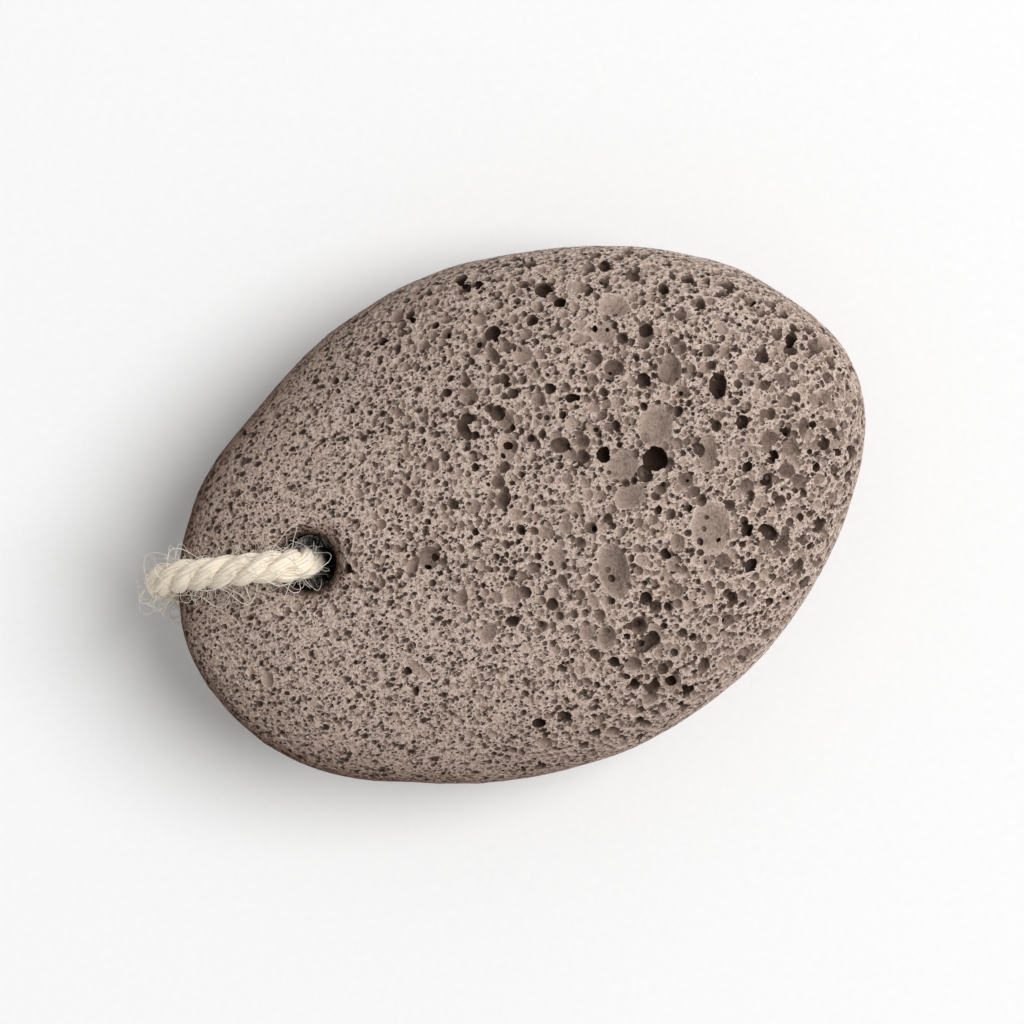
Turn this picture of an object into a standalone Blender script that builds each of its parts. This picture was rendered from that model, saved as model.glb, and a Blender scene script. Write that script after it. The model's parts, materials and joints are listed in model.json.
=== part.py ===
"""Pumice foot stone: an egg-shaped volcanic stone, drilled near its narrow end,
with a twisted cord through the hole, over the narrow tip and tied underneath.

Metres, +Z up. +X runs from the narrow tip to the wide end. The origin is on the
floor, under the middle of the stone's box.
"""
import math

import bmesh
import bpy
from mathutils import Matrix, Vector

MM = 0.001

# Stone, seen from above: radius from the middle, one for each 22.5 degrees
# turned from +X (the wide end) towards +Y. The tip is the ninth.
PLAN_RADII = [r * MM for r in (
    50.1, 46.2, 40.5, 36.5, 35.8, 36.6, 39.5, 45.9,
    49.4, 46.9, 40.1, 36.6, 35.5, 36.6, 39.5, 44.2)]
HALF_LENGTH = 50 * MM

# Stone, seen from the side.
CROWN = 15.6 * MM               # rise of the top above the widest line
BELLY = 16.2 * MM               # drop of the underside below that line
EDGE_REACH = 36 * MM            # how far in from the widest line the rounding goes
ROUNDING = 2.4                  # 2 rounds as an ellipse does, more is blunter
TAPER_START = 8 * MM            # along the stone: the narrow end thins from here
CROWN_TAPER = 0.48              # share of the crown that the tip loses
CROWN_TAPER_CURVE = 1.4         # 1 thins it evenly, more thins it late
BELLY_TAPER = 0.43              # share of the belly that the tip loses
TIP_LIFT = 5.2 * MM             # how much higher the widest line is at the tip
AROUND = 56                     # facets round the stone
LAYERS = 28                     # facets from underside to top
WORN_DEPTH = 0.5 * MM           # taken off the belly by the flat it lies on

# Drilled hole.
BORE_X = -29.6 * MM
BORE_Y = 4.9 * MM
BORE_RADIUS = 3.5 * MM
MOUTH_FLARE = 1.1 * MM          # extra radius worn into each mouth
MOUTH_DEPTH = 2.4 * MM          # how deep that wear reaches
TOP_MOUTH = 28.6 * MM           # height of the stone's top round the hole
LOW_MOUTH = 7.9 * MM            # height of its underside there
MOUTH_CURVE = [(0.0, 0.0), (0.35, 0.12), (0.7, 0.45), (1.0, 1.0)]   # (way up, way out)
BORE_OVERSHOOT = (4.0, 6.0)     # the same, where the drill's path leaves the stone
BORE_SIDES = 24

# Cord.
CORD_DIAMETER = 4.1 * MM
CORD_STEP = 2.6 * MM            # between the tube's rings
CURVE_STEPS = 10                # steps along the smooth curve between two route points
CORD_ROUTE_MM = [
    (-27.9, -16.6, 3.7),        # out of the knot, on the floor under the stone
    (-25.6, -16.0, 3.2),
    (-23.7, -14.5, 2.7),
    (-22.5, -12.4, 2.4),
    (-22.0, -10.0, 2.4),
    (-22.4, -7.3, 2.4),
    (-23.6, -4.5, 2.4),
    (-25.4, -1.6, 2.8),
    (-27.3, 1.2, 4.3),
    (-28.6, 3.4, 7.4),          # into the lower mouth
    (-29.2, 4.6, 11.2),
    (-29.3, 4.9, 15.3),
    (-28.9, 4.9, 19.3),
    (-28.5, 4.8, 22.8),
    (-29.1, 4.9, 26.0),
    (-30.7, 5.2, 28.6),         # out of the upper mouth
    (-33.3, 6.0, 30.3),
    (-36.6, 6.9, 30.5),
    (-39.9, 7.8, 29.5),
    (-43.2, 8.7, 28.0),
    (-46.3, 9.5, 26.1),
    (-48.9, 9.9, 23.8),
    (-50.0, 9.9, 20.5),         # round the tip
    (-49.7, 9.5, 16.9),
    (-48.7, 8.5, 13.5),
    (-47.3, 6.8, 10.3),
    (-46.1, 4.2, 7.2),
    (-45.2, 0.8, 4.8),
    (-44.6, -3.2, 3.5),
    (-43.8, -7.1, 3.2),
    (-42.7, -10.6, 3.4),
    (-40.9, -13.6, 3.7),        # back to the knot
]

# Knot: both ends tied in a flat reef knot, lying under the tip.
KNOT_CENTRE = (-34.6 * MM, -17.2 * MM, 3.7 * MM)
KNOT_HEADING = -8.0             # degrees from +X that the cord runs through it
KNOT_LENGTH = 10.8 * MM
KNOT_WIDTH = 12.4 * MM
KNOT_HEIGHT = 6.7 * MM
KNOT_BLUNTNESS = 0.75           # under 1 squares an egg shape off
KNOT_AROUND = 20
KNOT_LAYERS = 10


def remove_everything():
    for old in list(bpy.data.objects):
        bpy.data.objects.remove(old, do_unlink=True)


def new_collection(name):
    collection = bpy.data.collections.new(name)
    bpy.context.scene.collection.children.link(collection)
    return collection


def make_material(name, colour, roughness):
    material = bpy.data.materials.new(name)
    material.use_nodes = True
    shader = material.node_tree.nodes["Principled BSDF"]
    shader.inputs["Base Color"].default_value = (*colour, 1.0)
    shader.inputs["Roughness"].default_value = roughness
    shader.inputs["Metallic"].default_value = 0.0
    return material


def mesh_object(name, bm, collection):
    bmesh.ops.recalc_face_normals(bm, faces=bm.faces)
    mesh = bpy.data.meshes.new(name)
    bm.to_mesh(mesh)
    bm.free()
    item = bpy.data.objects.new(name, mesh)
    collection.objects.link(item)
    return item


def smooth_between(before, start, end, after, t):
    """Catmull-Rom: a smooth step from start to end that also heeds the neighbours."""
    return start + 0.5 * t * (end - before + t * (
        2 * before - 5 * start + 4 * end - after + t * (3 * (start - end) + after - before)))


def plan_radius(angle):
    """The stone's outline seen from above, as a radius at an angle from +X."""
    count = len(PLAN_RADII)
    turn = (angle / math.tau % 1.0) * count
    first = int(turn)
    near = [PLAN_RADII[(first + k) % count] for k in (-1, 0, 1, 2)]
    return smooth_between(*near, turn - first)


def stone_point(direction):
    """The place on the stone's skin for a point of a unit ball."""
    angle = math.atan2(direction.y, direction.x)
    rim = plan_radius(angle)
    reach = rim * math.hypot(direction.x, direction.y)
    inward = 1 - min(1.0, (rim - reach) / EDGE_REACH)
    rise = (1 - inward ** ROUNDING) ** (1 / ROUNDING)
    x = reach * math.cos(angle)
    tipward = max(0.0, TAPER_START - x) / (TAPER_START + HALF_LENGTH)
    height = TIP_LIFT * tipward ** 2
    if direction.z > 0:
        height += CROWN * (1 - CROWN_TAPER * tipward ** CROWN_TAPER_CURVE) * rise
    else:
        thinning = (1 - math.cos(math.pi * min(1.0, tipward))) / 2
        height -= BELLY * (1 - BELLY_TAPER * thinning) * rise
    return Vector((x, reach * math.sin(angle), height))


def set_on_floor(bm):
    """Centres the stone's box on the origin, with the worn flat at z = 0."""
    low = [min(v.co[i] for v in bm.verts) for i in range(3)]
    high = [max(v.co[i] for v in bm.verts) for i in range(3)]
    shift = Vector((-(low[0] + high[0]) / 2, -(low[1] + high[1]) / 2, -low[2] - WORN_DEPTH))
    bmesh.ops.translate(bm, vec=shift, verts=bm.verts)


def make_floor_cutter(collection):
    """A block whose top face is the floor: what it takes off leaves the worn flat."""
    bm = bmesh.new()
    bmesh.ops.create_cube(bm, size=1.0)
    bmesh.ops.scale(bm, vec=(4 * HALF_LENGTH, 4 * HALF_LENGTH, HALF_LENGTH), verts=bm.verts)
    bmesh.ops.translate(bm, vec=(0, 0, -HALF_LENGTH / 2), verts=bm.verts)
    return mesh_object("floor_cutter", bm, collection)


def bore_profile():
    """Radius and height down the drilled hole, trumpet-shaped at both mouths."""
    wear = MOUTH_CURVE + [BORE_OVERSHOOT]
    upper = [(BORE_RADIUS + MOUTH_FLARE * out, TOP_MOUTH + MOUTH_DEPTH * (up - 1))
             for up, out in wear]
    lower = [(BORE_RADIUS + MOUTH_FLARE * out, LOW_MOUTH - MOUTH_DEPTH * (down - 1))
             for down, out in wear]
    return list(reversed(upper)) + lower


def make_bore_cutter(collection):
    """The drill's path: a turned profile, closed at both ends on its axis."""
    profile = bore_profile()
    profile = [(0.0, profile[0][1])] + profile + [(0.0, profile[-1][1])]
    bm = bmesh.new()
    verts = [bm.verts.new((radius, 0, height)) for radius, height in profile]
    for upper, lower in zip(verts, verts[1:]):
        bm.edges.new((upper, lower))
    bmesh.ops.spin(bm, geom=bm.verts[:] + bm.edges[:], cent=(0, 0, 0), axis=(0, 0, 1),
                   angle=math.tau, steps=BORE_SIDES, use_merge=True)
    bmesh.ops.remove_doubles(bm, verts=bm.verts, dist=0.01 * MM)
    bmesh.ops.translate(bm, vec=(BORE_X, BORE_Y, 0), verts=bm.verts)
    return mesh_object("bore_cutter", bm, collection)


def cut(item, cutter):
    cutter.hide_render = True
    cutter.display_type = "WIRE"
    modifier = item.modifiers.new("cut_" + cutter.name, "BOOLEAN")
    modifier.operation = "DIFFERENCE"
    modifier.solver = "EXACT"
    modifier.object = cutter


def make_stone(collection, cutters):
    bm = bmesh.new()
    bmesh.ops.create_uvsphere(bm, u_segments=AROUND, v_segments=LAYERS, radius=1.0)
    for vert in bm.verts:
        vert.co = stone_point(vert.co)
    set_on_floor(bm)
    stone = mesh_object("pumice_stone", bm, collection)
    stone.data.shade_smooth()
    cut(stone, make_floor_cutter(cutters))
    cut(stone, make_bore_cutter(cutters))
    stone.data.materials.append(make_material("pumice", (0.31, 0.23, 0.20), 0.95))
    return stone


def smooth_route(points, step):
    """Even points along the smooth curve through the route's own points."""
    fine = []
    ends = [points[0] * 2 - points[1]] + points + [points[-1] * 2 - points[-2]]
    for k in range(1, len(ends) - 2):
        fine += [smooth_between(*ends[k - 1:k + 3], t / CURVE_STEPS)
                 for t in range(CURVE_STEPS)]
    fine.append(points[-1])
    lengths = [0.0]
    for start, end in zip(fine, fine[1:]):
        lengths.append(lengths[-1] + (end - start).length)
    count = round(lengths[-1] / step)
    even = []
    for k in range(count + 1):
        target = lengths[-1] * k / count
        after = next((i for i, done in enumerate(lengths) if done >= target and i), len(fine) - 1)
        part = (target - lengths[after - 1]) / (lengths[after] - lengths[after - 1])
        even.append(fine[after - 1].lerp(fine[after], part))
    return even


def make_cord(collection):
    route = [Vector(point) * MM for point in CORD_ROUTE_MM]
    rings = smooth_route(route, CORD_STEP)
    curve = bpy.data.curves.new("rope_loop", "CURVE")
    curve.dimensions = "3D"
    curve.bevel_depth = CORD_DIAMETER / 2
    curve.bevel_resolution = 2
    curve.use_fill_caps = True
    spline = curve.splines.new("POLY")
    spline.points.add(len(rings) - 1)
    for point, place in zip(spline.points, rings):
        point.co = (*place, 1.0)
    cord = bpy.data.objects.new("rope_loop", curve)
    collection.objects.link(cord)
    curve.materials.append(make_material("cotton_rope", (0.60, 0.50, 0.39), 0.9))
    return cord


def make_knot(collection):
    """The outer shape of the tied knot: a flat rounded lump."""
    bm = bmesh.new()
    bmesh.ops.create_uvsphere(bm, u_segments=KNOT_AROUND, v_segments=KNOT_LAYERS,
                             radius=1.0)
    size = Vector((KNOT_LENGTH, KNOT_WIDTH, KNOT_HEIGHT)) / 2
    for vert in bm.verts:
        blunt = Vector(math.copysign(abs(c) ** KNOT_BLUNTNESS, c) for c in vert.co)
        vert.co = Vector(b * s for b, s in zip(blunt, size))
    turn = Matrix.Rotation(math.radians(KNOT_HEADING), 4, "Z")
    bmesh.ops.transform(bm, matrix=Matrix.Translation(KNOT_CENTRE) @ turn, verts=bm.verts)
    knot = mesh_object("rope_knot", bm, collection)
    knot.data.shade_smooth()
    knot.data.materials.append(make_material("cotton_knot", (0.60, 0.50, 0.39), 0.9))
    return knot


def main():
    remove_everything()
    parts = new_collection("pumice_stone_on_rope")
    cutters = new_collection("cutters")
    make_stone(parts, cutters)
    make_cord(parts)
    make_knot(parts)


main()
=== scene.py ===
"""Looks of the pumice foot stone: foam-textured stone, twisted cord with its knot and loose fibres.

Metres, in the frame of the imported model: +X from the narrow drilled tip to the wide end, +Z up,
origin on the floor under the middle of the stone.
"""

import json
import math

import bpy
import numpy as np
from mathutils import Matrix, Vector
from mathutils.bvhtree import BVHTree

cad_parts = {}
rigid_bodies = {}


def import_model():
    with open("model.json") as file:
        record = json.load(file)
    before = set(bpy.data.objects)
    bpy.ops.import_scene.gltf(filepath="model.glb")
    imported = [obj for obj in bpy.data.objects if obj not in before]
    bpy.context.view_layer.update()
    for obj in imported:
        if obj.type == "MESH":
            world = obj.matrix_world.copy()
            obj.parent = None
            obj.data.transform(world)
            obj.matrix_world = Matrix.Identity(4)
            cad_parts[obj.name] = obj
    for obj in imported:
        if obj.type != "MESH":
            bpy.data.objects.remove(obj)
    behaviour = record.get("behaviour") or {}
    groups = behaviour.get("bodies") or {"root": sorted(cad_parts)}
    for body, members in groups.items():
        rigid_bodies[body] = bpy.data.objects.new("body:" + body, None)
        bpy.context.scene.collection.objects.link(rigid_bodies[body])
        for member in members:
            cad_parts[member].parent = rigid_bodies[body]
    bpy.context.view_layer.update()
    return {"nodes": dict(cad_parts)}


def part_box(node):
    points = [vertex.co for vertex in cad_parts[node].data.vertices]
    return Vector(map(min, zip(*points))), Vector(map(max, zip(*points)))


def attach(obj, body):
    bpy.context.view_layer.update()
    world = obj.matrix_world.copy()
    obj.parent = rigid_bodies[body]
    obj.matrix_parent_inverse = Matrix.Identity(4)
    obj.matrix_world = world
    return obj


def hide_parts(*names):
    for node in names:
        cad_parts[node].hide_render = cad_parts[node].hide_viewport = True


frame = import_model()

MM = 0.001

# Studio.
VIEW_ACROSS = 141.2 * MM            # width of the camera's view at the stone's widest line
WIDEST_LINE = 18 * MM               # height of that line
STONE_TURN = 22.0                   # degrees that the stone's length is turned in the view
VIEW_MIDDLE = (-1.65 * MM, 0.9 * MM)
LENS = 100.0                        # millimetres, as is the sensor
SENSOR = 36.0
FLOOR_SIZE = 6.0
PAPER_GRAINS = 900.0                # per metre
AIR_LIGHT = 0.40
LAMP_DISTANCE = 3.0

# Cord: diameter, lay and route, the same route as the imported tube's.
CORD_DIAMETER = 4.1 * MM
CORD_ROUTE_MM = [
    (-27.9, -16.6, 3.7),            # out of the knot, on the floor under the stone
    (-25.6, -16.0, 3.2),
    (-23.7, -14.5, 2.7),
    (-22.5, -12.4, 2.4),
    (-22.0, -10.0, 2.4),
    (-22.4, -7.3, 2.4),
    (-23.6, -4.5, 2.4),
    (-25.4, -1.6, 2.8),
    (-27.3, 1.2, 4.3),
    (-28.6, 3.4, 7.4),              # into the lower mouth
    (-29.2, 4.6, 11.2),
    (-29.3, 4.9, 15.3),
    (-28.9, 4.9, 19.3),
    (-28.5, 4.8, 22.8),
    (-29.1, 4.9, 26.0),
    (-30.7, 5.2, 28.6),             # out of the upper mouth
    (-33.3, 6.0, 30.3),
    (-36.6, 6.9, 30.5),
    (-39.9, 7.8, 29.5),
    (-43.2, 8.7, 28.0),
    (-46.3, 9.5, 26.1),
    (-48.9, 9.9, 23.8),
    (-50.0, 9.9, 20.5),             # round the tip
    (-49.7, 9.5, 16.9),
    (-48.7, 8.5, 13.5),
    (-47.3, 6.8, 10.3),
    (-46.1, 4.2, 7.2),
    (-45.2, 0.8, 4.8),
    (-44.6, -3.2, 3.5),
    (-43.8, -7.1, 3.2),
    (-42.7, -10.6, 3.4),
    (-40.9, -13.6, 3.7),            # back to the knot
]
LOWER_MOUTH = (-28.6 * MM, 3.4 * MM, 7.4 * MM)
LEAN_POINT = (-28.5 * MM, 4.8 * MM, 22.8 * MM)
LEAN = 1.1 * MM                     # how far the cord leans to the tip's side at that point
LEAN_SPREAD = 4.5 * MM
KNOT_CENTRE = Vector((-34.6, -17.2, 3.7)) * MM
KNOT_HEADING = -8.0                 # degrees from +X
KNOTTED_DIAMETER = 3.2 * MM         # the cord where the knot squeezes it
SQUEEZE_REACH = 5.0 * MM            # how far from the knot's centre the squeeze is full
SQUEEZE_FADE = 3.5 * MM
PATH_STEP = 0.45 * MM
CURVE_STEPS = 12                    # steps of the smooth curve between two points of a route

# Strands and yarns. A wobble says over how many points of the path a value changes at random, and
# by how much.
STRANDS = 3
LAY_LENGTH = 9.8 * MM               # one full turn of a strand round the cord
STRAND_OFFSET = 1.06                # mm from the cord's middle to a strand's
STRAND_WOBBLE = (9, 0.05)
STRAND_TURN_WOBBLE = (12, 0.13)
STRAND_CORE = 0.86 * MM             # radius of the fibres that fill a strand between its yarns
CORE_SIDES = 8
YARNS = 9                           # outer yarns in a strand
YARN_OFFSET = 0.77                  # mm from a strand's middle to a yarn's
YARN_OFFSET_WOBBLE = (5, 0.06)
YARN_RADIUS = 0.38                  # mm
YARN_RADIUS_WOBBLE = (6, 0.05)
YARN_SIDES = 6
YARN_LAY = 8.5 * MM                 # one full turn of a yarn round its strand
YARN_TURN_WOBBLE = (12, 0.10)
FLOOR_GAP = 0.03 * MM               # the cord flattens where it lies on the floor

# Streaks of fibre in a yarn. A fibre is 0.03 mm thick. Streaks are drawn 0.17 mm wide, about the
# finest that shows.
STREAKS_ROUND = 14.0                # round one yarn
STREAKS_ALONG = 0.55                # per mm
STREAK_LEAN = 0.05                  # radians that they lean from the yarn's own line
STREAK_RELIEF = 0.10 * MM
PATCH_WIDTH = 2.5 * MM              # of the warmer patches in the cord
PATTERN_SHIFTS = 7                  # a yarn's or fibre's streaks start anywhere in this many widths

# Fibres worked loose from the cord: how many, length in mm, points along one, radius in mm, curl per
# mm, waver, how far it stands out at first, how far from the cord's middle it may stray in cord
# radii, the pull towards LOW_SIDE, where the long ones gather, and whether it is one of those
# scraped up inside the bore.
FIBRE_KINDS = [
    dict(count=2150, length=(0.8, 2.8), points=7, radius=0.030, curl=(0.1, 0.9), waver=0.10,
         lift=(0.0, 0.5), stray=1.15, low=0.0, bore=False),
    dict(count=660, length=(2.5, 7.0), points=13, radius=0.034, curl=(0.15, 0.9), waver=0.10,
         lift=(0.2, 1.0), stray=1.55, low=0.1, bore=False),
    dict(count=150, length=(9.0, 20.0), points=28, radius=0.054, curl=(0.02, 0.25), waver=0.09,
         lift=(0.0, 0.35), stray=1.75, low=1.6, bore=False),
    dict(count=440, length=(2.5, 5.5), points=6, radius=0.034, curl=(0.2, 0.9), waver=0.20,
         lift=(0.5, 1.5), stray=1.8, low=0.0, bore=True),
]
BORE_SPAN = (6 * MM, 14 * MM)       # heights at which the scraped-up fibres start
BORE_NEAR = 3 * MM                  # and how near the lower mouth's middle the cord is there
LOW_SIDE = np.array([-0.37, -0.93, -0.2])
FIBRE_SIDES = 3
FIBRE_STREAKS = 5 * MM              # a fibre's streaks are as long as on this much yarn
FIBRE_START = 4                     # points of the path left free of fibres at each end
FIBRE_ROOT = 0.9                    # where a fibre leaves the cord, in cord radii
FIBRE_FORWARD = (0.5, 1.0)          # how strongly it first heads along the cord
FIBRE_PACE = 0.8                    # how much of its own length it gets along the cord
FIBRE_RETURN = 0.8                  # how hard one that has strayed turns back
FIBRE_DRIFT = 0.12                  # how much the direction of its curl changes
LEAST_PULL = 0.1                    # a weaker pull is nearly along the cord and is left out

# Stone: the foam.
SEED = 11
MERGE = 0.001 * MM                  # corners nearer than this are one
SKIN_STEP = 1.0 * MM                # mesh size of the stone before its bubbles
SKIN_SMOOTHING = 14                 # rounds
SWELL_WIDTH = 14 * MM               # the tumbled skin swells and dips at this width
SWELL_HEIGHT = 0.7 * MM
BORE_AXIS = np.array([-29.6, 4.9]) * MM
BORE_WIDENING = 0.5 * MM
BORE_BLEND = 7.0 * MM               # how far from the axis the widening reaches
BORE_FADE = 3.0 * MM
SEPTUM = 0.07 * MM                  # thinnest glass wall between two bubbles
NEAR = (-1, 0, 1)                   # steps to the neighbouring cells of a grid
MOST_TRIANGLES = 197000
INSIDE = 0.05                       # a face whose bubble value is above this is in a bubble
OWN_VALUE = 0.02                    # how far the values of two like bubbles may differ by chance
SAME_BUBBLE = 0.001                 # faces whose values differ by less are in one bubble
CRUMB_STEP = 97                     # from one vertex that is tried to the next
LEAST_AREA = 1e-15                  # keeps a normal of no length from being divided by nought
OUT_OF_ROUND = 0.04                 # how rough a bubble is made before it is smoothed, in radii
ROUGHER = 0.1                       # and how much more for each subdivision of its ball

# Where the foam is coarse: it is fine up to COARSE_START along X and coarse past the span, both in
# mm. Waves bend that border: height in mm, radians per mm of X and of Y, and radians at the start.
# The rim is finer than the top, and less so at the wide end. A pair says where a change starts and
# how long it is, in the normal's rise or in mm.
COARSE_START = -27
COARSE_SPAN = 34
BORDER_WAVES = [(5, 0.0, 0.16, 1.0), (4, 0.23, 0.31, 0.0)]
TOP_SLOPE = (0.25, 0.5)
WIDE_END = (20, 20)
WIDE_RIM_SHARE = 0.45
LEAST_RIM_SHARE = 0.35


def linear(code):
    """An sRGB hex colour as linear red, green, blue and alpha."""
    parts = [int(code[k:k + 2], 16) / 255 for k in (0, 2, 4)]
    return tuple(c / 12.92 if c <= 0.04045 else ((c + 0.055) / 1.055) ** 2.4
                 for c in parts) + (1.0,)


def add_node(tree, kind, inputs=None, **settings):
    """Adds a shader node: settings are its properties, inputs are values or sockets to link.

    A node given as an input stands for its first output.
    """
    node = tree.nodes.new("ShaderNode" + kind)
    for name, value in settings.items():
        setattr(node, name, value)
    for socket, value in (inputs or {}).items():
        if isinstance(value, bpy.types.Node):
            value = value.outputs[0]
        if isinstance(value, bpy.types.NodeSocket):
            tree.links.new(value, node.inputs[socket])
        else:
            node.inputs[socket].default_value = value
    return node


def bore_shade(tree, place):
    """How much painted shade a place inside the drilled bore gets: 0 outside it and at its mouths."""
    from_axis = add_node(tree, "VectorMath", {0: place, 1: (*BORE_AXIS, 0)}, operation="SUBTRACT")
    flat = add_node(tree, "VectorMath", {0: from_axis, 1: (1, 1, 0)}, operation="MULTIPLY")
    reach = add_node(tree, "VectorMath", {0: flat}, operation="LENGTH")
    height = add_node(tree, "SeparateXYZ", {"Vector": place}).outputs["Z"]
    near = add_node(tree, "MapRange", {"Value": reach.outputs["Value"], "From Min": BORE_SHADE_REACH[1],
                                       "From Max": BORE_SHADE_REACH[0], "To Max": MOST_BORE_SHADE})
    upper = add_node(tree, "MapRange", {"Value": height, "From Min": BORE_SHADE_UPPER_END[1],
                                        "From Max": BORE_SHADE_UPPER_END[0]})
    lower = add_node(tree, "MapRange", {"Value": height, "From Min": BORE_SHADE_LOWER_END[1],
                                        "From Max": BORE_SHADE_LOWER_END[0]})
    both = add_node(tree, "Math", {0: upper, 1: lower}, operation="MULTIPLY")
    return add_node(tree, "Math", {0: near, 1: both}, operation="MULTIPLY")


def new_material(name):
    """A material with only its shader and output: the material, its nodes and the shader."""
    material = bpy.data.materials.new(name)
    material.use_nodes = True
    tree = material.node_tree
    return material, tree, tree.nodes["Principled BSDF"]


def deselect_all():
    """Leaves edit mode and deselects every object, as operators act on all that is selected."""
    if bpy.context.object and bpy.context.object.mode != "OBJECT":
        bpy.ops.object.mode_set(mode="OBJECT")
    bpy.ops.object.select_all(action="DESELECT")


def make_active(item):
    """Selects one object alone, for the operators that follow."""
    deselect_all()
    item.select_set(True)
    bpy.context.view_layer.objects.active = item


def apply_modifier(item, kind, **settings):
    """Adds a modifier, sets it and applies it."""
    make_active(item)
    modifier = item.modifiers.new(kind.lower(), kind)
    for name, value in settings.items():
        setattr(modifier, name, value)
    bpy.ops.object.modifier_apply(modifier=modifier.name)


def link_mesh(name, mesh):
    """A new object of the mesh, in the scene."""
    item = bpy.data.objects.new(name, mesh)
    bpy.context.scene.collection.objects.link(item)
    return item


# ---------------------------------------------------------------- studio

def set_camera():
    """A long lens straight above the stone."""
    away = VIEW_ACROSS * LENS / SENSOR
    data = bpy.data.cameras.new("studio_camera")
    data.lens = LENS
    data.sensor_width = SENSOR
    data.clip_start = 0.01
    data.clip_end = 20
    camera = bpy.data.objects.new("studio_camera", data)
    camera.location = (*VIEW_MIDDLE, WIDEST_LINE + away)
    camera.rotation_euler = (0, 0, math.radians(-STONE_TURN))
    bpy.context.scene.collection.objects.link(camera)
    bpy.context.scene.camera = camera


def area_light(name, side, height, size, power):
    """A soft box aimed at the stone: side is in degrees from the view's right, height above it."""
    data = bpy.data.lights.new(name, "AREA")
    data.shape = "DISK"
    data.size = size
    data.energy = power
    light = bpy.data.objects.new(name, data)
    heading = math.radians(side - STONE_TURN)
    up = math.radians(height)
    light.location = Vector((math.cos(heading) * math.cos(up), math.sin(heading) * math.cos(up),
                             math.sin(up))) * LAMP_DISTANCE
    light.rotation_euler = light.location.to_track_quat("Z", "Y").to_euler()
    bpy.context.scene.collection.objects.link(light)


def matt_paper():
    """Uncoated white paper: no shine at all, and a grain that only just shows."""
    material, tree, shader = new_material("matt_white_paper")
    place = add_node(tree, "TexCoord").outputs["Object"]
    grain = add_node(tree, "TexNoise", {"Vector": place, "Scale": PAPER_GRAINS, "Detail": 2.0})
    paper = add_node(tree, "MixRGB", {"Fac": grain, "Color1": linear("F6F6F6"),
                                      "Color2": linear("FBFBFB")})
    tree.links.new(paper.outputs["Color"], shader.inputs["Base Color"])
    shader.inputs["Roughness"].default_value = 1.0
    shader.inputs["Specular IOR Level"].default_value = 0.0
    return material


def set_studio():
    """Even light from all round, one soft box and a floor of white paper."""
    scene = bpy.context.scene
    scene.view_settings.view_transform = "Standard"
    world = bpy.data.worlds.new("studio_air")
    world.use_nodes = True
    world.node_tree.nodes["Background"].inputs["Color"].default_value = (1, 1, 1, 1)
    world.node_tree.nodes["Background"].inputs["Strength"].default_value = AIR_LIGHT
    scene.world = world
    area_light("key_soft_box", side=12, height=55, size=2.2, power=76.5)
    bpy.ops.mesh.primitive_plane_add(size=FLOOR_SIZE, location=(0, 0, 0))
    floor = bpy.context.object
    floor.name = "studio_floor"
    floor.data.materials.append(matt_paper())


# ---------------------------------------------------------------- cord

def smooth_between(before, start, end, after, t):
    """Catmull-Rom: a smooth step from start to end that also heeds the neighbours."""
    return start + 0.5 * t * (end - before + t * (
        2 * before - 5 * start + 4 * end - after + t * (3 * (start - end) + after - before)))


def even_path(points, step):
    """Evenly spaced points on the smooth curve through a route, and how far along each one is."""
    points = np.array(points, float)
    ends = np.vstack([2 * points[0] - points[1], points, 2 * points[-1] - points[-2]])
    steps = np.arange(CURVE_STEPS) / CURVE_STEPS
    fine = [smooth_between(*ends[k - 1:k + 3], t) for k in range(1, len(ends) - 2) for t in steps]
    fine = np.array(fine + [points[-1]])
    along = np.concatenate([[0], np.cumsum(np.linalg.norm(np.diff(fine, axis=0), axis=1))])
    wanted = np.linspace(0, along[-1], round(along[-1] / step) + 1)
    return np.stack([np.interp(wanted, along, fine[:, i]) for i in range(3)], axis=1), wanted


def knot_place(along, across, up):
    """A place in the knot: along its heading, to the left of it and up, in cord diameters."""
    turn = Matrix.Rotation(math.radians(KNOT_HEADING), 3, "Z")
    return KNOT_CENTRE + turn @ (Vector((along, across, up)) * KNOTTED_DIAMETER)


def reef_knot():
    """Routes of the two interlocked bights of a reef knot, each from its tail to its standing end."""
    from_tip = [(-2.15, -0.75, 0.1), (-1.75, -0.6, 0.35), (-1.1, -0.5, 0.5), (-0.5, -0.7, 0.0),
                (0.0, -1.02, -0.5), (0.5, -1.35, -0.2), (1.0, -1.3, 0.3), (1.3, -0.75, 0.52),
                (1.38, 0.0, 0.55), (1.3, 0.75, 0.52), (1.0, 1.3, 0.3), (0.5, 1.35, -0.2),
                (0.0, 1.02, -0.5), (-0.5, 0.7, 0.0), (-1.1, 0.5, 0.45), (-1.6, 0.55, 0.3)]
    from_bore = [(2.9, -0.9, -0.55), (2.3, -0.7, -0.5), (1.6, -0.55, -0.45), (1.1, -0.5, -0.5),
                 (0.5, -0.7, 0.0), (0.0, -1.02, 0.5), (-0.5, -1.35, 0.2), (-1.0, -1.3, -0.3),
                 (-1.3, -0.75, -0.52), (-1.38, 0.0, -0.55), (-1.3, 0.75, -0.52),
                 (-1.0, 1.3, -0.3), (-0.5, 1.35, 0.2), (0.0, 1.02, 0.5), (0.5, 0.7, 0.0),
                 (1.1, 0.5, -0.45), (1.6, 0.5, -0.3)]
    return [knot_place(*p) for p in from_tip], [knot_place(*p) for p in from_bore]


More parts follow.
